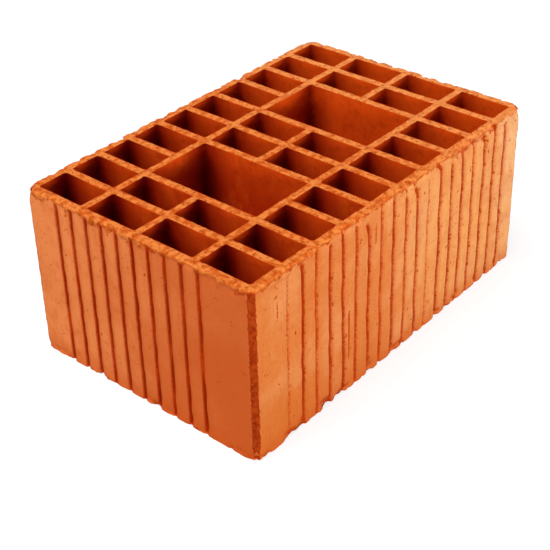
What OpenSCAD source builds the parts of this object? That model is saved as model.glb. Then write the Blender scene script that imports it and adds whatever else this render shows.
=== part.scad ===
// Hollow clay block: extruded, wire-cut and fired as one piece, with upright cells and two grip holes.
// Origin at the centre of the lower bed face, +X along the length, +Y across the width, +Z up the cells.

/* [Block] */
// Length of the block
block_length = 290; // [240:1:400]
// Width of the block
block_width = 190; // [160:1:260]
// Height of the block between its two wire-cut bed faces
block_height = 125; // [60:1:250]
// Legs of the chamfer down each upright corner
corner_chamfer = 3.5; // [1:0.1:6]

/* [Cells] */
// Wall between an end face and the cells
end_wall = 7; // [6:0.1:14]
// Wall between a long face and the cells
side_wall = 7; // [6:0.1:14]
// Thickness of the webs that run across the block
cross_web = 6; // [4:0.1:11]
// Thickness of the webs that run along the block
long_web = 5.5; // [4:0.1:11]
// Size across the block of the cells beside a long face
outer_cell_width = 38.5; // [24:0.1:50]
// Radius in the upright corners of the cells
cell_radius = 1.5; // [0.5:0.1:4]
// Number of cells in a row along the block
cells_along = 10; // [8:1:11]

/* [Grip holes] */
// Number of cells between an end face and the nearer grip hole
cells_before_grip = 2; // [1:1:2]
// Number of cells that a grip hole takes up along the block
grip_cells = 2; // [1:1:2]
// Radius in the upright corners of the grip holes
grip_radius = 2.5; // [0.5:0.1:8]

/* [Grooves] */
// Width of a plaster groove at the face
groove_width = 3.4; // [1.5:0.1:4.5]
// Depth of a plaster groove below the face
groove_depth = 2.2; // [1:0.1:4]
// Wanted distance between neighbouring grooves
groove_pitch = 13.3; // [8:0.1:20]
// Plain band on a long face from the corner at the -X end to its first groove
long_band_start = 32; // [12:0.5:50]
// Plain band on a long face from its last groove to the corner at the +X end
long_band_end = 21.5; // [12:0.5:50]
// Plain band on an end face from the corner at the -Y side to its first groove
end_band_start = 42; // [12:0.5:60]
// Plain band on an end face from its last groove to the corner at the +Y side
end_band_end = 28; // [12:0.5:60]

/* [Hidden] */
$fn = 48;

half_length = block_length / 2;
half_width = block_width / 2;

// Two outer rows of one width, and two inner rows that share what is left
inner_cell_width = half_width - side_wall - outer_cell_width - long_web - long_web / 2;
cell_length = (block_length - 2 * end_wall - (cells_along - 1) * cross_web) / cells_along;
cell_pitch = cell_length + cross_web;

// Middle of each row of cells, counted from the block's long axis
inner_row_y = (long_web + inner_cell_width) / 2;
outer_row_y = half_width - side_wall - outer_cell_width / 2;

// A grip hole takes the place of whole cells in both inner rows
grip_length = grip_cells * cell_pitch - cross_web;
grip_width = 2 * inner_cell_width + long_web;
grip_x = half_length - end_wall - cells_before_grip * cell_pitch - grip_length / 2;
grip_first = cells_before_grip;
grip_last = cells_before_grip + grip_cells - 1;

function cell_x(i) = -half_length + end_wall + cell_length / 2 + i * cell_pitch;
function mirrored(i) = cells_along - 1 - i;
function in_grip(i) = i >= grip_first && i <= grip_last;

// Number of gaps between the grooves that fit a run, at about the wanted pitch
function groove_gaps(run) = max(1, round(run / groove_pitch));

// Rectangle about its middle, with round corners
module round_rectangle(length, width, radius) {
    square([length - 2 * radius, width], center = true);
    square([length, width - 2 * radius], center = true);
    for (x = [-1, 1], y = [-1, 1])
        translate([x * (length / 2 - radius), y * (width / 2 - radius)]) circle(r = radius);
}

// Plan of the block before anything is cut out of it
module block_outline() {
    x = half_length;
    y = half_width;
    c = corner_chamfer;
    polygon([[c - x, -y], [x - c, -y], [x, c - y], [x, y - c],
             [x - c, y], [c - x, y], [-x, y - c], [-x, c - y]]);
}

// Plan of one groove in a face that lies along y = 0: a round bottom, with straight sides above it
// where the groove is deeper than half its width
module groove() {
    half = groove_width / 2;
    shallow = groove_depth < half;
    radius = shallow ? (half * half + groove_depth * groove_depth) / (2 * groove_depth) : half;
    centre = radius - groove_depth;
    translate([0, centre]) circle(r = radius);
    if (!shallow) translate([-half, centre]) square([groove_width, groove_depth]);
}

// Row of grooves in a face that lies along y = 0, from x = start to x = finish
module groove_row(start, finish) {
    gaps = groove_gaps(finish - start);
    for (i = [0 : gaps])
        translate([start + i * (finish - start) / gaps, 0]) groove();
}

// Grooves in both long faces and both end faces
module groove_rows() {
    long_start = long_band_start - half_length;
    long_finish = half_length - long_band_end;
    end_start = end_band_start - half_width;
    end_finish = half_width - end_band_end;
    for (side = [0, 1]) {
        mirror([0, side, 0]) translate([0, half_width]) groove_row(long_start, long_finish);
        mirror([side, 0, 0]) translate([half_length, 0]) rotate(-90) groove_row(-end_finish, -end_start);
    }
}

// Cells of the two outer rows, and those of the inner rows that no grip hole takes up
module cells() {
    for (i = [0 : cells_along - 1], side = [-1, 1]) {
        translate([cell_x(i), side * outer_row_y])
            round_rectangle(cell_length, outer_cell_width, cell_radius);
        if (!in_grip(i) && !in_grip(mirrored(i)))
            translate([cell_x(i), side * inner_row_y])
                round_rectangle(cell_length, inner_cell_width, cell_radius);
    }
}

// The two holes for the hands
module grip_holes() {
    for (side = [-1, 1])
        translate([side * grip_x, 0]) round_rectangle(grip_length, grip_width, grip_radius);
}

// The fired block
module brick() {
    color("chocolate")
        linear_extrude(block_height)
            difference() {
                block_outline();
                groove_rows();
                cells();
                grip_holes();
            }
}

brick();
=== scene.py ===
import math
import random
from bisect import bisect_left

import bmesh
import bpy
from mathutils import Matrix, Vector, noise


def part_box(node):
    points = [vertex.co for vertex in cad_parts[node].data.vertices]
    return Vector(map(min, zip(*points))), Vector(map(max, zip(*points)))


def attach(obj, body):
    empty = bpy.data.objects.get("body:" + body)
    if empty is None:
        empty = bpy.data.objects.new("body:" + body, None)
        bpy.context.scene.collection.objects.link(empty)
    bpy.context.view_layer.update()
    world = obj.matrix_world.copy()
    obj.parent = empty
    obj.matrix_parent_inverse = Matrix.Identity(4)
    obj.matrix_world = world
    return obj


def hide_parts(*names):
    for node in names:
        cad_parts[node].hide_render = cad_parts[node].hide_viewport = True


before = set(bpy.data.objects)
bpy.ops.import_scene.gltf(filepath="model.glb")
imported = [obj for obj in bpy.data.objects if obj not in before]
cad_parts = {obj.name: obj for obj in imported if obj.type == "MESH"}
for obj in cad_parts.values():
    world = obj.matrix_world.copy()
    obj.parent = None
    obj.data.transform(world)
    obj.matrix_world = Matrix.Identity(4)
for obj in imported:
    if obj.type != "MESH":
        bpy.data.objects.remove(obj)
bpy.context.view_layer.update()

# Plan of the clay column.
# Stiff red clay is pushed through a die whose cores leave four rows of cells and two grip holes
# between walls and webs of 5.5 to 7 mm. The plan is drawn as one sheet at the upper bed.
mm = 0.001
half_length, half_width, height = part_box("brick")[1]
outer_wall = 7.0 * mm
cross_web = 6.0 * mm
long_web = 5.5 * mm
outer_cell = 38.5 * mm
corner_chamfer = 3.5 * mm
cells_along = 10
grip_spans = ((2, 3), (6, 7))
grain_step = 1.15 * mm
hairline = 1e-7

inner_cell = half_width - outer_wall - outer_cell - 1.5 * long_web
cell_length = (2 * half_length - 2 * outer_wall - (cells_along - 1) * cross_web) / cells_along
cell_starts = [outer_wall - half_length + i * (cell_length + cross_web) for i in range(cells_along)]
inner_row = (long_web / 2, long_web / 2 + inner_cell)
outer_row = (inner_row[1] + long_web, half_width - outer_wall)


def in_grip_hole(x, y, margin=0.0):
    """True inside a grip hole, which takes the place of two cells in both inner rows."""
    across = abs(y) < inner_row[1] + margin
    return across and any(
        cell_starts[first] - margin < x < cell_starts[last] + cell_length + margin
        for first, last in grip_spans)


def is_open(x, y):
    """True where the plan is open, in a cell or in a grip hole."""
    in_row = any(a < abs(y) < b for a, b in (inner_row, outer_row))
    in_cell = in_row and any(a < x < a + cell_length for a in cell_starts)
    return in_cell or in_grip_hole(x, y)


def spread(marks, step):
    """Places spread evenly between neighbouring marks, about a step apart."""
    places = []
    for a, b in zip(marks, marks[1:]):
        parts = max(1, round((b - a) / step))
        places += [a + (b - a) * i / parts for i in range(1, parts)]
    return places


def cut_plan(point, direction, clear_outer=False):
    """Cuts the whole plan by an upright plane, and may clear what lies beyond it."""
    everything = clay.verts[:] + clay.edges[:] + clay.faces[:]
    bmesh.ops.bisect_plane(
        clay, geom=everything, dist=hairline, plane_co=point, plane_no=direction, clear_outer=clear_outer)


def slice_plan(direction, places):
    """Cuts the whole plan at each of several places."""
    for place in places:
        cut_plan(direction * place, direction)


x_axis, y_axis = Vector((1, 0, 0)), Vector((0, 1, 0))
wall_x = sorted(cell_starts + [a + cell_length for a in cell_starts])
wall_y = sorted([side * y for side in (-1, 1) for y in inner_row + outer_row])
grain_x = spread([-half_length] + wall_x + [half_length], grain_step)
grain_y = spread([-half_width] + wall_y + [half_width], grain_step)
clay = bmesh.new()
bmesh.ops.create_grid(clay, x_segments=1, y_segments=1, size=1.0)
bmesh.ops.scale(clay, vec=(half_length, half_width, 1.0), verts=clay.verts)
bmesh.ops.translate(clay, vec=(0, 0, height), verts=clay.verts)
slice_plan(x_axis, wall_x)
slice_plan(y_axis, wall_y)
open_faces = [f for f in clay.faces if is_open(*f.calc_center_median().xy)]
bmesh.ops.delete(clay, geom=open_faces, context="FACES")
slice_plan(x_axis, grain_x)
slice_plan(y_axis, grain_y)
for x_side, y_side in ((-1, -1), (-1, 1), (1, -1), (1, 1)):
    chamfer_point = (x_side * half_length, y_side * (half_width - corner_chamfer), 0)
    cut_plan(chamfer_point, Vector((x_side, y_side, 0)).normalized(), clear_outer=True)

# Walls of the column, down to the lower bed.
# The clay leaves the die as a straight column, so every wall falls from the edge of the plan.
# The outer faces get close rings for their grooves, the walls of the cells only a few.
upper_face_rings = [0, 0.7, 1.4, 2.2, 3.1, 4.2, 5.5, 7.2, 9.5, 12.5]
lower_face_rings = [0, 0.9, 2.0, 3.4, 5.2, 7.5, 10.5]
upper_cell_rings = [0, 0.5, 2.0, 8.0, 26.0]
lower_cell_rings = [0, 1.5]
face_step = 3.3
cell_step = 60.0
touch = 0.01 * mm


def outer_gap(p):
    """How far a point of the plan lies inside the outline."""
    x_gap = half_length - abs(p.x)
    y_gap = half_width - abs(p.y)
    return min(x_gap, y_gap, (x_gap + y_gap - corner_chamfer) / math.sqrt(2))


def ring_heights(upper, lower, step):
    """Heights of the rings, from their distances to the two beds in mm and the step between."""
    tops = [height / mm - r for r in upper]
    middle = spread([lower[-1], tops[-1]], step)
    return [h * mm for h in tops + middle[::-1] + lower[::-1]]


def of_kind(kind, geometry):
    """The points, edges or faces among what an operator gives back."""
    return [g for g in geometry if isinstance(g, kind)]


def draw_down(edges, heights):
    """Extrudes a line of edges from ring to ring."""
    for above, below in zip(heights, heights[1:]):
        made = bmesh.ops.extrude_edge_only(clay, edges=edges)["geom"]
        bmesh.ops.translate(clay, vec=(0, 0, below - above), verts=of_kind(bmesh.types.BMVert, made))
        edges = of_kind(bmesh.types.BMEdge, made)


outline, cell_rims = [], []
for edge in clay.edges:
    if edge.is_boundary:
        is_outside = all(outer_gap(v.co) < touch for v in edge.verts)
        (outline if is_outside else cell_rims).append(edge)
lower_bed = bmesh.ops.duplicate(clay, geom=clay.faces[:])["geom"]
bmesh.ops.translate(clay, vec=(0, 0, -height), verts=of_kind(bmesh.types.BMVert, lower_bed))
bmesh.ops.reverse_faces(clay, faces=of_kind(bmesh.types.BMFace, lower_bed))
draw_down(outline, ring_heights(upper_face_rings, lower_face_rings, face_step))
draw_down(cell_rims, ring_heights(upper_cell_rings, lower_cell_rings, cell_step))
bmesh.ops.remove_doubles(clay, verts=clay.verts, dist=touch)
bmesh.ops.recalc_face_normals(clay, faces=clay.faces)
clay.normal_update()

# Plaster grooves of the four faces.
# Teeth in the mouth of the die comb grooves into the soft clay, so that plaster keeps its hold.
# They run straight on the end faces, and on the long faces they sway and are dragged shut in places.
groove_depth = 2.1 * mm
groove_half = 1.5 * mm
groove_mouth = 3 * mm
groove_foot = 4 * mm
hook_length = 10 * mm
rib_crown = 0.25 * mm
# Painted shade spreads from a groove onto its flanks, wider on one side.
flank_shade_start = 0.8 * mm
wide_flank_shade = 6.0 * mm
narrow_flank_shade = 1.8 * mm
# Lines of points across a groove, counted in half widths from its middle.
groove_lines = (-1.08, -0.74, 0.0, 0.70, 1.14, 1.9)
# The lower bed is torn and worn less than the upper one, by these shares.
lower_lip, lower_round, lower_bite = 0.3, 0.65, 0.5
clay_luck = random.Random(11)


def smooth(low, high, value):
    """0 below low, 1 above high, and a soft step between."""
    t = min(1.0, max(0.0, (value - low) / (high - low)))
    return t * t * (3 - 2 * t)


def ripple(seed, along, up=0.5):
    """Smooth noise from -1 to 1 at a place that is counted in waves."""
    return noise.noise(Vector((along, up, seed)))


def luck(low, high, count):
    """So many numbers between two ends, the same in every run."""
    return [clay_luck.uniform(low, high) for _ in range(count)]


def groove_row(first, last, count):
    """Places of a row of grooves, from the first to the last one in mm."""
    return [(first + i * (last - first) / (count - 1)) * mm for i in range(count)]


class CombedFace:
    """One outer face: its columns of points, its grooves from bed to bed, and its worn edges."""

    def __init__(self, columns, grooves, lean, depths, sway, lip, crumble, seed):
        self.columns, self.grooves, self.lean = columns, grooves, lean
        self.sway, self.lip, self.crumble, self.seed = sway, lip, crumble, seed
        self.pitch = grooves[1] - grooves[0]
        self.depths = luck(*depths, len(grooves))
        self.shut = luck(0.5, 0.9, len(grooves))
        self.starts = [-1.2 * mm] * len(grooves)
        self.hooks = [0.0] * len(grooves)
        self.pull = [0.0] * len(columns)
        for groove in grooves:
            nearest = min(range(len(columns)), key=lambda k: abs(columns[k] - groove))
            for step, line in enumerate(groove_lines, -2):
                k = nearest + lean * step
                self.pull[k] = groove + lean * line * groove_half - columns[k]

    def groove_at(self, along, drop, rise):
        """How far a point moves along the face and sinks, and how much painted shade the groove and its
        flank get.
        """
        column = min(bisect_left(self.columns, along - touch), len(self.columns) - 1)
        i = round((along - self.grooves[0]) / self.pitch)
        i = min(len(self.grooves) - 1, max(0, i))
        off = (along + self.pull[column] - self.grooves[i]) * self.lean
        slow_swing = ripple(self.seed + 7.3 * i, rise / (31 * mm))
        quick_swing = ripple(self.seed + 3.1 * i, rise / (9 * mm))
        wide = groove_half * (1 + 0.12 * ripple(self.seed + 9.7 * i, rise / (8 * mm)))
        uneven = 1 + 0.3 * ripple(self.seed + 5.7 * i, rise / (18 * mm))
        begun = smooth(self.starts[i], self.starts[i] + groove_mouth, drop)
        still_open = 1 - self.shut[i] * (1 - smooth(0, groove_foot, rise))
        share = uneven * begun * self.depths[i]

        bottom = 1 - smooth(0.6 * wide, 1.05 * wide, -off if off < 0 else 0.8 * off)
        crown = rib_crown * (1 - min(1.0, 2 * abs(off) / self.pitch)) ** 2
        sunk = groove_depth * share * still_open * bottom + crown
        groove_shading = 1 - smooth(0.76, 1.05, -off / wide) if off < 0 else max(0.0, 1 - off / (1.35 * wide))
        flank_shade = 1 - smooth(flank_shade_start, wide_flank_shade if off > 0 else narrow_flank_shade, abs(off))
        near = 1 - smooth(2.5 * mm, 6.2 * mm, abs(off))
        hook = self.hooks[i] * (1 - smooth(0, hook_length, drop - self.starts[i]))
        shift = self.pull[column] + near * (self.sway * (slow_swing + 0.8 * quick_swing) + hook)
        return shift, sunk, share * groove_shading, flank_shade * min(1.0, share)

    def edge_at(self, along, upper):
        """Length of the torn lip, round of the arris and bite of the crumbling at a place along a bed."""
        a = along / mm
        seed = self.seed + (0 if upper else 53)
        waver = 0.9 * ripple(seed + 31, a / 9) + 0.9 * ripple(seed + 33, a / 2.6)
        lip = self.lip * max(0.2, 1 + waver)
        radius = max(0.5, 1.2 + 0.6 * ripple(seed + 39, a / 8) + 0.5 * ripple(seed + 41, a / 3)) * mm
        bite = self.crumble * max(0.0, ripple(seed + 43, a / 9) + 0.8 * ripple(seed + 45, a / 3.2) - 0.1)
        if upper:
            return lip, radius, bite
        return lower_lip * lip, lower_round * radius, lower_bite * bite


columns_x = sorted([-half_length, half_length] + wall_x + grain_x)
columns_y = sorted([-half_width, half_width] + wall_y + grain_y)
long_grooves = groove_row(-113, 123.5, 19)
end_grooves = groove_row(-53, 67, 10)
front = CombedFace(columns_x, long_grooves, 1, (0.85, 1.1), 0.9 * mm, 2.0 * mm, 3.2 * mm, 1.0)
back = CombedFace(columns_x, long_grooves, -1, (0.68, 0.88), 0.8 * mm, 2.0 * mm, 2.0 * mm, 200.0)
left = CombedFace(columns_y, end_grooves, -1, (0.85, 1.1), 0.12 * mm, 3.2 * mm, 1.3 * mm, 400.0)
right = CombedFace(columns_y, end_grooves, 1, (0.85, 1.1), 0.12 * mm, 2.4 * mm, 1.6 * mm, 600.0)
# The front's grooves differ one by one: their depths, where they start below the upper bed in mm,
# and three that hook aside at their start.
front.depths = [
    0.2, 0.88, 0.48, 0.84, 0.8, 0.6, 0.76, 0.56, 0.8, 0.6,
    0.8, 0.24, 0.8, 0.76, 0.8, 0.64, 0.8, 0.8, 0.72]
front_tops = (5, 5, 2.5, 4.5, -0.5, 4.5, 8.5, 4.5, -0.5, 8.5, 6.5, 6.5, 1.5, 7.5, 0.5, 1.5, 4, 0.5, 5.5)
front.starts = [d * mm for d in front_tops]
front.hooks[6], front.hooks[10], front.hooks[12] = -2.5 * mm, -3 * mm, -2.5 * mm
left.starts = [d * mm for d in luck(1.0, 3.0, len(end_grooves))]

# Wire-cut beds, worn arrises, chips and the painted shade in the cells.
# A wire cuts the column into blocks and tears the clay, which leaves grainy beds with pits and a
# ragged lip over the faces. Handling rounds the arrises and knocks chips off the corners.
bed_grit = 0.3 * mm
bed_swell = 0.2 * mm
bed_pit = 0.6 * mm
lip_recess = 0.25 * mm
face_hollow = 0.3 * mm
face_rough = 0.2 * mm
scrape_depth = 0.6 * mm
arris_reach = 4.5 * mm
rim_radius = 0.9 * mm
cell_corner = 1.5 * mm
diagonal_share = 0.414
web_sway = 0.6 * mm
sway_wave = 38 * mm
# How far painted shade reaches from a cell's corner and down from a bed, and how strong it gets deep down.
shade_reach = 28 * mm
shade_depth = 26 * mm
deep_shade = 0.62
# Painted shade in a cell's corner, by the side of the corner on which the cell lies.
side_shade = {(-1, -1): 1.0, (1, -1): 0.55, (-1, 1): 0.15, (1, 1): 0.15}
foot_height = 0.5 * mm
crisp_angle = math.radians(35)
# Place, size and bite of each chip in mm.
chips = (
    (-48, -95, 124, 5.0, 1.6), (-6, -95, 123, 4.0, 1.4), (9, -95, 124, 5.0, 1.5),
    (44, -95, 123, 4.5, 1.3), (82, -95, 124, 5.0, 1.6), (106, -95, 122, 4.0, 1.2),
    (-103, -95, 1, 5.0, 1.8), (-77, -95, 2, 6.0, 1.8), (-64, -95, 1, 5.0, 1.6),
    (-143, -93, 5, 5.0, 1.2), (-136, -95, 1, 5.0, 0.8), (-142, -92, 0, 6.0, 1.0),
    (-145, 40, 0, 5.0, 1.5), (-145, -10, 0, 5.0, 1.5), (143, 93, 124, 5.0, 2.0),
    (143, 93, 2, 6.0, 2.2), (60, 95, 124, 6.0, 1.8), (-20, 95, 123, 5.0, 1.5),
    (-90, 95, 1, 6.0, 1.8), (145, 30, 124, 5.0, 1.5), (145, -60, 1, 6.0, 1.8),
    (-143, 93, 1, 5.0, 0.8), (-145, 95, 125, 8.0, 2.4), (145, -95, 125, 8.0, 2.4),
    (62, -95, 122, 6.0, 1.4), (94, -95, 121, 5.0, 1.2),
)
# Place along the front, lower and upper end in mm, and strength of each scratch.
scratches = ((-123, 94, 108, 0.35), (-27, 99, 111, 0.45), (-54.5, 26, 62, 0.6))
torn = clay.verts.layers.float.new("torn")
groove_shade_and_scratch = clay.verts.layers.float.new("groove_shade_and_scratch")
shaded_flank = clay.verts.layers.float.new("shaded_flank")
inside = clay.verts.layers.float.new("inside")
at_end = clay.verts.layers.float.new("at_end")
rubbed = clay.verts.layers.float.new("rubbed")
painted_cell_shade = clay.verts.layers.float.new("painted_cell_shade")
downward_shade = clay.verts.layers.float.new("downward_shade")


def way_in(p):
    """The way into the clay from the nearer bed, down from the upper one and up from the lower one."""
    return -1.0 if p.z > height / 2 else 1.0


def bed_tear(p):
    """How deep the wire tore the bed below its plane."""
    x, y = p.x / mm, p.y / mm
    seed = 50.0 if p.z > height / 2 else 90.0
    grit = 0.5 + 0.5 * ripple(seed, x / 2.1, y / 2.1)
    swell = 0.5 + 0.5 * ripple(seed + 5, x / 17, y / 17)
    centres, _ = noise.voronoi(Vector((x / 4.3, y / 4.3, seed)))
    pit = 1 - smooth(0.1, 0.42, centres[0])
    return bed_grit * grit + bed_swell * swell + bed_pit * pit * grit


def worn_edge(gap, drop, radius, on_bed):
    """Where a point beside an arris comes to lie on its round: below the face, and below the bed."""
    if on_bed:
        angle = math.pi / 2 - max(0.0, 1 - gap / radius) * math.pi / 4
        flat = max(0.0, gap - radius)
    else:
        angle = max(0.0, 1 - drop / radius) * math.pi / 4
        flat = 0.0
    stay = max(0.0, drop - radius)
    return radius - radius * math.cos(angle) + flat, radius - radius * math.sin(angle) + stay


def nearest_face(p):
    """The face that a point belongs to, its place along it, the way along and the way in."""
    if half_width - abs(p.y) < half_length - abs(p.x):
        return front if p.y < 0 else back, p.x, x_axis, y_axis * -math.copysign(1, p.y)
    return left if p.x < 0 else right, p.y, y_axis, x_axis * -math.copysign(1, p.x)


def weather(v, p, normal):
    """Combs, tears and wears a point of a bed or of an outer face, and says how far it moves."""
    face, along, along_axis, inward = nearest_face(p)
    drop, rise = height - p.z, p.z
    to_bed = min(drop, rise)
    on_bed = to_bed < touch
    gap = outer_gap(p)
    x_gap, y_gap = half_length - abs(p.x), half_width - abs(p.y)
    fade = max(0.0, 1 - gap / outer_wall)
    a, z = along / mm, p.z / mm
    shift, sunk, groove_shading, flank_shade = face.groove_at(along, drop, rise)
    lip, radius, bite = face.edge_at(along, drop < rise)

    bare = smooth(0.8 * lip, 1.25 * lip, to_bed)
    hollow = 0.5 + 0.5 * ripple(face.seed + 35, a / 34, z / 52)
    rough = 0.5 + 0.5 * ripple(face.seed + 37, a / 4.5, z / 7.5)
    dent = smooth(0.05, 0.4, ripple(face.seed + 61, a / 7, z / 5)) * (1 - smooth(3 * mm, 11 * mm, to_bed))
    recess = lip_recess * bare + face_hollow * hollow + face_rough * rough + 0.4 * face.crumble * dent
    new_gap, new_drop = worn_edge(gap, to_bed, radius, on_bed)
    square = smooth(0.5 * mm, 2 * mm, abs(x_gap - y_gap))
    arris = 1 - smooth(0, arris_reach, gap + to_bed)
    move = along_axis * shift * fade
    move += inward * ((new_gap - gap) * square + (sunk + recess) * fade + 0.8 * bite * arris)
    move.z += way_in(p) * (new_drop - to_bed + 0.6 * bite * arris)

    v[torn] = 1.0 if on_bed else max(0.0, 1 - 0.5 * to_bed / lip, 0.6 * arris * min(1.0, bite / mm))
    # Painted shade of the groove and its flank; the scratches take the groove's colour.
    v[groove_shade_and_scratch] = groove_shading * fade
    v[shaded_flank] = flank_shade * fade
    v[at_end] = float(x_gap < y_gap) * fade
    if face is front:
        for x, low, high, strength in scratches:
            if abs(a - x) < 0.6 and low < z < high:
                v[groove_shade_and_scratch] = max(v[groove_shade_and_scratch], strength)
    if gap < touch and max(x_gap, y_gap) < 1.01 * corner_chamfer:
        scrape = 0.5 + 0.5 * ripple(77, z / 3.0, a / 2.0)
        move -= Vector((normal.x, normal.y, 0)) * scrape_depth * scrape
        v[rubbed] = 1.0 - smooth(0.3, 0.7, v[torn])
    return move


def corner_shade(p, normal):
    """How much painted shade a cell's wall gets from its upright corners, most from one of them."""
    i, j = bisect_left(wall_x, p.x - touch), bisect_left(wall_y, p.y - touch)
    if abs(normal.x) > abs(normal.y):
        near = [(wall_x[i], y) for y in wall_y[max(0, j - 1):j + 2]]
    else:
        near = [(x, wall_y[j]) for x in wall_x[max(0, i - 1):i + 2]]
    shades = [0.0]
    for x, y in near:
        gap = math.hypot(p.x - x, p.y - y)
        shades.append(corner_shade_shares.get((x, y), 0.0) * (1 - gap / shade_reach))
    return max(shades)


def depth_shade(p):
    """How much painted shade a wall gets at its depth below a bed; the wide grip holes get none."""
    if in_grip_hole(p.x, p.y, touch):
        return 0.0
    return deep_shade * smooth(2 * mm, shade_depth, min(height - p.z, p.z))


def crumble_rim(v, p, normal):
    """Crumbles the rim of a cell at a point, gives it painted corner shade, and says how far it moves."""
    crumbling = 1 + 1.2 * ripple(71, p.x / (3 * mm), p.y / (3 * mm))
    crumbling += 1.6 * smooth(0.2, 0.5, ripple(73, p.x / (6 * mm), p.y / (6 * mm)))
    v[inside] = 0.4
    v[painted_cell_shade] = corner_shade(p, normal)
    return -normal * diagonal_share * rim_radius * crumbling


def shade_wall(v, p, normal):
    """Gives the wall of a cell painted shade at a point, and says how far it moves to round an upright
    corner.
    """
    v[inside] = 1.0
    v[painted_cell_shade] = max(corner_shade(p, normal), depth_shade(p))
    if abs(normal.x) > 0.3 and abs(normal.y) > 0.3:
        return normal * diagonal_share * cell_corner
    return Vector((0, 0, 0))


def knock_chips(v, p, normal):
    """Knocks the chips out around a point, and says how far it moves."""
    move = Vector((0, 0, 0))
    for x, y, z, size, bite in chips:
        off = (p - Vector((x, y, z)) * mm).length / (size * mm)
        if off < 1:
            uneven = 1 + 0.5 * ripple(81, p.x / (2 * mm), (p.y + p.z) / (2 * mm))
            move -= normal * bite * mm * (1 - off * off) * uneven
            v[torn] = max(v[torn], 1 - off)
    return move


# Each upright corner of a cell gets its share of painted shade.
corner_shade_shares = {}
for x in wall_x:
    for y in wall_y:
        open_sides = [(i, j) for i, j in side_shade if is_open(x + i * touch, y + j * touch)]
        if len(open_sides) == 1:
            corner_shade_shares[x, y] = side_shade[open_sides[0]]
for v in clay.verts:
    p, normal = v.co.copy(), v.normal.copy()
    gap = outer_gap(p)
    on_face = gap < touch
    on_bed = min(height - p.z, p.z) < touch
    settled = web_sway * smooth(2 * mm, 9 * mm, gap)
    move = x_axis * settled * ripple(95, p.x / sway_wave, p.y / sway_wave)
    move += y_axis * settled * ripple(97, p.x / sway_wave, p.y / sway_wave)
    if on_bed or on_face:
        move += weather(v, p, normal)
    if on_bed:
        move.z += way_in(p) * bed_tear(p)
        if abs(normal.z) < 0.95 and gap > 2 * mm:
            move += crumble_rim(v, p, normal)
    elif not on_face:
        move += shade_wall(v, p, normal)
    v.co = p + move + knock_chips(v, p, normal)

clay.normal_update()
# Points above the foot that face down get painted shade in the material.
for v in clay.verts:
    if v.co.z > foot_height:
        v[downward_shade] = smooth(0.02, 0.35, -v.normal.z)
for polygon in clay.faces:
    polygon.smooth = True
for edge in clay.edges:
    edge.smooth = edge.calc_face_angle(0.0) < crisp_angle
mesh = bpy.data.meshes.new("fired_block")
clay.to_mesh(mesh)
clay.free()
block = bpy.data.objects.new("fired_block", mesh)
bpy.context.scene.collection.objects.link(block)
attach(block, "root")
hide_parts("brick")

# Fired clay.
# Iron burns the clay orange; painted light pales the long faces towards +X, painted shade reddens grooves.
# Sand grains and burnt-out specks leave small dark pits, and painted shade darkens the walls of the cells.
face_deep = (0.75, 0.190, 0.036, 1)
face_orange = (0.83, 0.252, 0.064, 1)
# Paler colours for painted light towards the +X end of the long faces; the first also pales the beds
# towards +X.
pale_and_painted_light = (0.97, 0.415, 0.132, 1)
face_far_end_light = (0.99, 0.520, 0.230, 1)
face_blush = (0.92, 0.385, 0.140, 1)
end_orange = (0.93, 0.275, 0.082, 1)
end_red = (0.68, 0.121, 0.024, 1)
# Red for painted shade on the groove flanks and at the foot of the faces, and for blotches and specks.
shade_and_speck_red = (0.70, 0.105, 0.013, 1)
speck_red = (0.40, 0.034, 0.0015, 1)
# Painted shade in the grooves, darkest at their bottom; the end groove red also colours the drag marks.
long_groove_shade_red = (0.57, 0.048, 0.0012, 1)
end_groove_shade_and_mark_red = (0.50, 0.038, 0.0008, 1)
groove_bottom_shade_dark = (0.17, 0.005, 0.0003, 1)
chamfer_red = (0.36, 0.030, 0.002, 1)
chamfer_dark = (0.18, 0.008, 0.0005, 1)
torn_bright = (0.85, 0.245, 0.048, 1)
torn_deep = (0.64, 0.100, 0.009, 1)
# Painted shade under the lip and on all that faces down.
under_lip_shade_red = (0.56, 0.050, 0.003, 1)
cell_bright = (0.88, 0.100, 0.005, 1)
cell_red = (0.72, 0.068, 0.004, 1)
# Painted shade deeper inside the cells.
cell_depth_shade = (0.55, 0.028, 0.0015, 1)
cell_brown = (0.76, 0.105, 0.007, 1)
# Painted shade in the corners and deep down in the cells; the first of these also mottles their walls.
cell_shade_and_mottle = (0.27, 0.007, 0.0003, 1)
cell_shade_dark = (0.10, 0.0012, 0.0001, 1)
matt_gloss = 0.03
bump_strength = 0.5
bump_height = 0.6 * mm

fired_clay = bpy.data.materials.new("fired_clay")
fired_clay.use_nodes = True
nodes, links = fired_clay.node_tree.nodes, fired_clay.node_tree.links
shader = nodes["Principled BSDF"]
clay_place = nodes.new("ShaderNodeTexCoord").outputs["Object"]


def attribute(name):
    """The value of one of the block's own attributes."""
    node = nodes.new("ShaderNodeAttribute")
    node.attribute_name = name
    return node.outputs["Fac"]


def mottle(scale, detail, stretch=(1, 1, 1)):
    """Noise over the clay, with so many waves to the metre along each axis."""
    mapping = nodes.new("ShaderNodeMapping")
    mapping.inputs["Scale"].default_value = [scale * s for s in stretch]
    links.new(clay_place, mapping.inputs["Vector"])
    node = nodes.new("ShaderNodeTexNoise")
    node.inputs["Scale"].default_value = 1.0
    node.inputs["Detail"].default_value = detail
    node.inputs["Roughness"].default_value = 0.6
    links.new(mapping.outputs["Vector"], node.inputs["Vector"])
    return node.outputs["Fac"]


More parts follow.
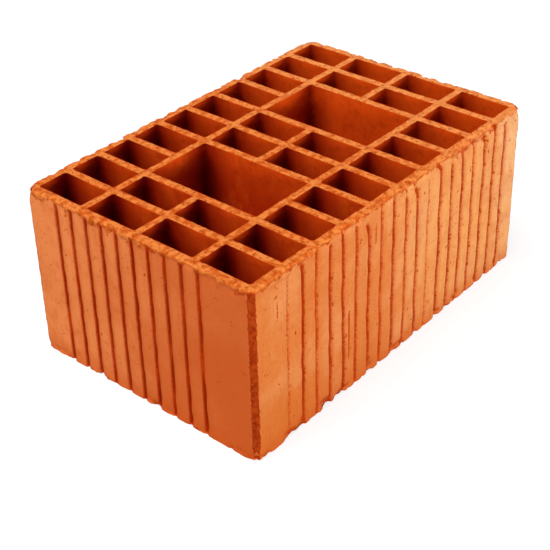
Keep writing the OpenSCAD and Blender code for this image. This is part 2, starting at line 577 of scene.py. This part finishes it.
def ramp(value, low, high, bottom=0.0, top=1.0):
    """A value stretched so that low becomes bottom and high becomes top."""
    node = nodes.new("ShaderNodeMapRange")
    node.interpolation_type = "SMOOTHSTEP"
    links.new(value, node.inputs["Value"])
    node.inputs["From Min"].default_value = low
    node.inputs["From Max"].default_value = high
    node.inputs["To Min"].default_value = bottom
    node.inputs["To Max"].default_value = top
    return node.outputs["Result"]


def combine(operation, a, b):
    """Two values put together, of which the second may be a plain number."""
    node = nodes.new("ShaderNodeMath")
    node.operation = operation
    links.new(a, node.inputs[0])
    if isinstance(b, float):
        node.inputs[1].default_value = b
    else:
        links.new(b, node.inputs[1])
    return node.outputs["Value"]


def tint(amount, under, over):
    """One colour laid over another by an amount; either may be plain."""
    node = nodes.new("ShaderNodeMix")
    node.data_type = "RGBA"
    links.new(amount, node.inputs["Factor"])
    for socket, paint in zip((node.inputs[6], node.inputs[7]), (under, over)):
        if isinstance(paint, tuple):
            socket.default_value = paint
        else:
            links.new(paint, socket)
    return node.outputs[2]


def ragged(mask, breakup, reach):
    """A soft mask cut off at its middle along a line that a noise makes ragged."""
    moved = combine("ADD", mask, ramp(breakup, 0.3, 0.7, -reach, reach))
    return ramp(moved, 0.38, 0.62)


axes = nodes.new("ShaderNodeSeparateXYZ")
links.new(clay_place, axes.inputs["Vector"])
along_block, across_block, up_block = axes.outputs
patches = ramp(mottle(13, 2), 0.35, 0.65)
clouds = ramp(mottle(60, 3), 0.42, 0.72)
blotches = ramp(mottle(190, 3), 0.5, 0.75)
crumbs = mottle(320, 4)
grain = mottle(700, 3)
drag_lines = mottle(850, 2, (1, 1, 0.04))
end_face = attribute("at_end")
torn_clay = ragged(attribute("torn"), crumbs, 0.3)

# Painted light pales the long faces towards +X, most at their +X end near the upper bed.
# Random patches vary the tone, and every face is paler towards the upper bed.
height_tone = ramp(up_block, 0.0, 0.125, -0.09, 0.13)
tone_and_painted_light = combine("ADD", ramp(along_block, -0.17, 0.15, -0.05, 0.82), combine("MULTIPLY", patches, 0.3))
tone_and_painted_light = combine("ADD", tone_and_painted_light, height_tone)
colour = tint(ramp(tone_and_painted_light, 0.0, 0.5), face_deep, face_orange)
colour = tint(ramp(tone_and_painted_light, 0.45, 1.0), colour, pale_and_painted_light)
blushes = combine("MULTIPLY", ramp(mottle(34, 3), 0.42, 0.7, 0.0, 0.75), combine("ADD", tone_and_painted_light, 0.3))
colour = tint(blushes, colour, face_blush)
far_end_light = combine("MULTIPLY", ramp(along_block, 0.105, 0.132, 0.0, 0.9), ramp(up_block, 0.0, 0.11, 0.3, 1.0))
colour = tint(far_end_light, colour, face_far_end_light)
colour = tint(combine("MULTIPLY", clouds, 0.35), colour, face_deep)

# The end faces redden towards -Y.
end_tone = combine("ADD", ramp(across_block, -0.1, 0.1, 0.0, 0.85), combine("MULTIPLY", patches, 0.25))
end_tone = combine("ADD", end_tone, height_tone)
end_colour = tint(ramp(end_tone, 0.05, 1.05), end_red, end_orange)
end_colour = tint(combine("MULTIPLY", clouds, 0.35), end_colour, end_red)
colour = tint(end_face, colour, end_colour)

# Every face gets painted shade at its foot, blotches, lines that the die dragged, and specks with a red
# rim.
colour = tint(ramp(up_block, 0.0, 0.018, 0.5, 0.0), colour, shade_and_speck_red)
colour = tint(combine("MULTIPLY", blotches, 0.3), colour, shade_and_speck_red)
colour = tint(ramp(drag_lines, 0.45, 0.7, 0.0, 0.16), colour, shade_and_speck_red)
specks = combine("ADD", mottle(270, 2), ramp(attribute("shaded_flank"), 0.3, 0.9, 0.0, 0.08))
colour = tint(ramp(specks, 0.65, 0.74, 0.0, 0.9), colour, shade_and_speck_red)
drag_marks = ramp(mottle(130, 2, (1, 1, 2.6)), 0.66, 0.75)
drag_marks = combine("MULTIPLY", drag_marks, ramp(end_face, 0, 1, 0.0, 0.65))
colour = tint(drag_marks, colour, end_groove_shade_and_mark_red)
colour = tint(ramp(specks, 0.69, 0.76, 0.0, 0.9), colour, speck_red)

# Painted shade makes the grooves red with red flanks, and darkest at their bottom on the end faces.
painted_flank_shade = combine("MULTIPLY", attribute("shaded_flank"), ramp(clouds, 0, 1, 0.85, 0.55))
painted_flank_shade = combine("MULTIPLY", painted_flank_shade, ramp(end_face, 0, 1, 0.62, 0.9))
colour = tint(painted_flank_shade, colour, shade_and_speck_red)
grooves = combine("ADD", attribute("groove_shade_and_scratch"), ramp(grain, 0.3, 0.7, -0.12, 0.12))
groove_bottom_shade = combine("MULTIPLY", ramp(grooves, 0.65, 1.0, 0.0, 0.55), end_face)
grooves = combine("MULTIPLY", grooves, ramp(end_face, 0, 1, 2.2, 1.0))
grooves = combine("MULTIPLY", ramp(grooves, 0.08, 0.75), ramp(mottle(45, 3), 0.4, 0.6, 0.78, 1.0))
colour = tint(grooves, colour, tint(end_face, long_groove_shade_red, end_groove_shade_and_mark_red))
colour = tint(groove_bottom_shade, colour, groove_bottom_shade_dark)

# The chamfers of the upright corners are scraped bare.
scraped = ragged(attribute("rubbed"), crumbs, 0.45)
scraped_colour = tint(ramp(mottle(150, 2), 0.54, 0.66, 0.0, 0.8), chamfer_red, chamfer_dark)
scraped_colour = tint(ramp(crumbs, 0.4, 0.6, 0.0, 0.4), scraped_colour, shade_and_speck_red)
colour = tint(scraped, colour, scraped_colour)

# The beds are torn into bright crumbs; painted shade reddens a band under their lip and all that faces
# down.
torn_colour = tint(ramp(mottle(210, 3), 0.36, 0.6), torn_deep, torn_bright)
torn_colour = tint(ramp(along_block, -0.03, 0.145, 0.0, 0.35), torn_colour, pale_and_painted_light)
torn_colour = tint(ramp(crumbs, 0.55, 0.66, 0.0, 0.75), torn_colour, speck_red)
colour = tint(torn_clay, colour, torn_colour)
lip_shade_band = combine("ADD", attribute("torn"), ramp(crumbs, 0.3, 0.7, -0.25, 0.25))
lip_shade_band = combine("MULTIPLY", ramp(lip_shade_band, 0.2, 0.4), ramp(lip_shade_band, 0.55, 0.8, 1.0, 0.0))
under_lip_shade = combine("MULTIPLY", lip_shade_band, ramp(mottle(95, 3), 0.48, 0.62, 0.25, 0.9))
under_lip_shade = combine("MAXIMUM", under_lip_shade, ramp(attribute("downward_shade"), 0, 1, 0.0, 0.75))
colour = tint(under_lip_shade, colour, under_lip_shade_red)

# The walls of the cells are red near the beds, stained and mottled; painted shade makes them deeper red
# away from the beds, and dark in one corner, deep in the small cells and more towards -X.
less_shade_near_bed = combine("MAXIMUM", ramp(up_block, 0.085, 0.125), ramp(up_block, 0.0, 0.04, 1.0, 0.0))
cell_colour = tint(combine("MULTIPLY", less_shade_near_bed, ramp(clouds, 0, 1, 1.0, 0.6)), cell_depth_shade, cell_red)
stains = ramp(mottle(80, 3, (1, 1, 0.6)), 0.45, 0.7)
stains = combine("MULTIPLY", stains, ramp(crumbs, 0.35, 0.65, 0.2, 0.55))
cell_colour = tint(stains, cell_colour, cell_brown)
cell_colour = tint(ramp(along_block, -0.03, 0.145, 0.0, 0.65), cell_colour, cell_bright)
cell_colour = tint(ramp(mottle(140, 3), 0.5, 0.7, 0.0, 0.25), cell_colour, cell_shade_and_mottle)
cell_shade = combine("MULTIPLY", attribute("painted_cell_shade"), ramp(clouds, 0, 1, 1.0, 0.85))
cell_shade = combine("MULTIPLY", cell_shade, ramp(up_block, 0.095, 0.125, 1.0, 0.85))
cell_shade = combine("MULTIPLY", cell_shade, ramp(along_block, -0.145, 0.145, 1.05, 0.72))
cell_colour = tint(ramp(cell_shade, 0.0, 0.8), cell_colour, cell_shade_and_mottle)
cell_colour = tint(ramp(cell_shade, 0.5, 0.95), cell_colour, cell_shade_dark)
colour = tint(ragged(attribute("inside"), crumbs, 0.25), colour, cell_colour)

# The surface is matt and sandy, and roughest where it is torn.
links.new(colour, shader.inputs["Base Color"])
links.new(ramp(grain, 0.3, 0.7, 0.82, 0.95), shader.inputs["Roughness"])
shader.inputs["Specular IOR Level"].default_value = matt_gloss
relief = combine("MULTIPLY", crumbs, ramp(torn_clay, 0, 1, 0.4, 1.0))
relief = combine("ADD", relief, combine("MULTIPLY", grain, 0.4))
relief = combine("ADD", relief, combine("MULTIPLY", torn_clay, 0.1))
relief = combine("ADD", relief, combine("MULTIPLY", drag_lines, 0.25))
bump = nodes.new("ShaderNodeBump")
bump.inputs["Strength"].default_value = bump_strength
bump.inputs["Distance"].default_value = bump_height
links.new(relief, bump.inputs["Height"])
links.new(bump.outputs["Normal"], shader.inputs["Normal"])
mesh.materials.append(fired_clay)

# Floor.
# A plain white sheet that the block stands on. It keeps the block's soft shadow, and glows only
# for rays that show it directly, so that it puts no light on the block.
floor_size = 8.0
floor_grey = (0.3, 0.3, 0.3, 1)
floor_glow = 0.8
floor_mesh = bpy.data.meshes.new("floor")
sheet = bmesh.new()
bmesh.ops.create_grid(sheet, x_segments=1, y_segments=1, size=floor_size / 2)
sheet.to_mesh(floor_mesh)
sheet.free()
floor = bpy.data.objects.new("floor", floor_mesh)
bpy.context.scene.collection.objects.link(floor)


def seen_directly(tree):
    """1 for rays that show the backdrop itself, straight or in gloss and glass."""
    path = tree.nodes.new("ShaderNodeLightPath")
    seen = path.outputs["Is Camera Ray"]
    for name in ("Is Glossy Ray", "Is Transmission Ray"):
        node = tree.nodes.new("ShaderNodeMath")
        node.operation = "MAXIMUM"
        tree.links.new(seen, node.inputs[0])
        tree.links.new(path.outputs[name], node.inputs[1])
        seen = node.outputs["Value"]
    return seen


white_sheet = bpy.data.materials.new("white_sheet")
white_sheet.use_nodes = True
sheet_tree = white_sheet.node_tree
sheet_tree.nodes.remove(sheet_tree.nodes["Principled BSDF"])
matt = sheet_tree.nodes.new("ShaderNodeBsdfDiffuse")
matt.inputs["Color"].default_value = floor_grey
glow = sheet_tree.nodes.new("ShaderNodeEmission")
glow_level = sheet_tree.nodes.new("ShaderNodeMath")
glow_level.operation = "MULTIPLY"
glow_level.inputs[1].default_value = floor_glow
sheet_tree.links.new(seen_directly(sheet_tree), glow_level.inputs[0])
sheet_tree.links.new(glow_level.outputs["Value"], glow.inputs["Strength"])
matt_and_glow = sheet_tree.nodes.new("ShaderNodeAddShader")
sheet_tree.links.new(matt.outputs["BSDF"], matt_and_glow.inputs[0])
sheet_tree.links.new(glow.outputs["Emission"], matt_and_glow.inputs[1])
sheet_tree.links.new(matt_and_glow.outputs["Shader"], sheet_tree.nodes["Material Output"].inputs["Surface"])
floor_mesh.materials.append(white_sheet)

# Studio light.
# A broad soft lamp hangs over the block, low ones stand before its long face, before its corner
# and behind it, and the pale room gives the rest. Each has its direction, power and width.
room_light = 0.1
white = (1, 1, 1, 1)
lamps = (
    ("overhead", (-0.5, 0.15, 1.0), 2.75, 50),
    ("long_side", (0.45, -0.9, 0.08), 1.75, 20),
    ("corner", (-0.6, -0.8, 0.1), 1.52, 20),
    ("back", (0.7, 0.7, 0.1), 1.8, 20),
)
world = bpy.data.worlds.new("pale_room")
world.use_nodes = True
bpy.context.scene.world = world
room_tree = world.node_tree
room = room_tree.nodes["Background"]
room.inputs["Color"].default_value = white
room.inputs["Strength"].default_value = room_light
backdrop = room_tree.nodes.new("ShaderNodeBackground")
backdrop.inputs["Color"].default_value = white
room_or_backdrop = room_tree.nodes.new("ShaderNodeMixShader")
room_tree.links.new(seen_directly(room_tree), room_or_backdrop.inputs["Fac"])
room_tree.links.new(room.outputs["Background"], room_or_backdrop.inputs[1])
room_tree.links.new(backdrop.outputs["Background"], room_or_backdrop.inputs[2])
room_tree.links.new(room_or_backdrop.outputs["Shader"], room_tree.nodes["World Output"].inputs["Surface"])
for name, direction, power, width in lamps:
    lamp = bpy.data.lights.new(name, "SUN")
    lamp.energy = power
    lamp.angle = math.radians(width)
    stand = bpy.data.objects.new(name, lamp)
    stand.rotation_euler = Vector(direction).to_track_quat("Z", "Y").to_euler()
    bpy.context.scene.collection.objects.link(stand)

# Camera.
# It looks down at the corner between an end face and a long face, as the photograph does.
view_turn = math.radians(40.58)
view_tilt = math.radians(30.86)
view_roll = math.radians(-1.4)
view_centre = Vector((22.3 * mm, 29.6 * mm, 60 * mm))
view_distance = 900 * mm
view_shift = -0.136
sensor_width = 36
focal_pixels = 1259
frame_pixels = 550
level = math.cos(view_tilt)
sight = Vector((level * math.cos(view_turn), level * math.sin(view_turn), -math.sin(view_tilt)))
lens = bpy.data.cameras.new("camera")
lens.sensor_width = sensor_width
lens.lens = focal_pixels * sensor_width / frame_pixels
lens.shift_y = view_shift
camera = bpy.data.objects.new("camera", lens)
camera.location = view_centre - sight * view_distance
turned = sight.to_track_quat("-Z", "Y").to_matrix() @ Matrix.Rotation(view_roll, 3, "Z")
camera.rotation_euler = turned.to_euler()
bpy.context.scene.collection.objects.link(camera)
bpy.context.scene.camera = camera
bpy.context.scene.view_settings.view_transform = "Standard"
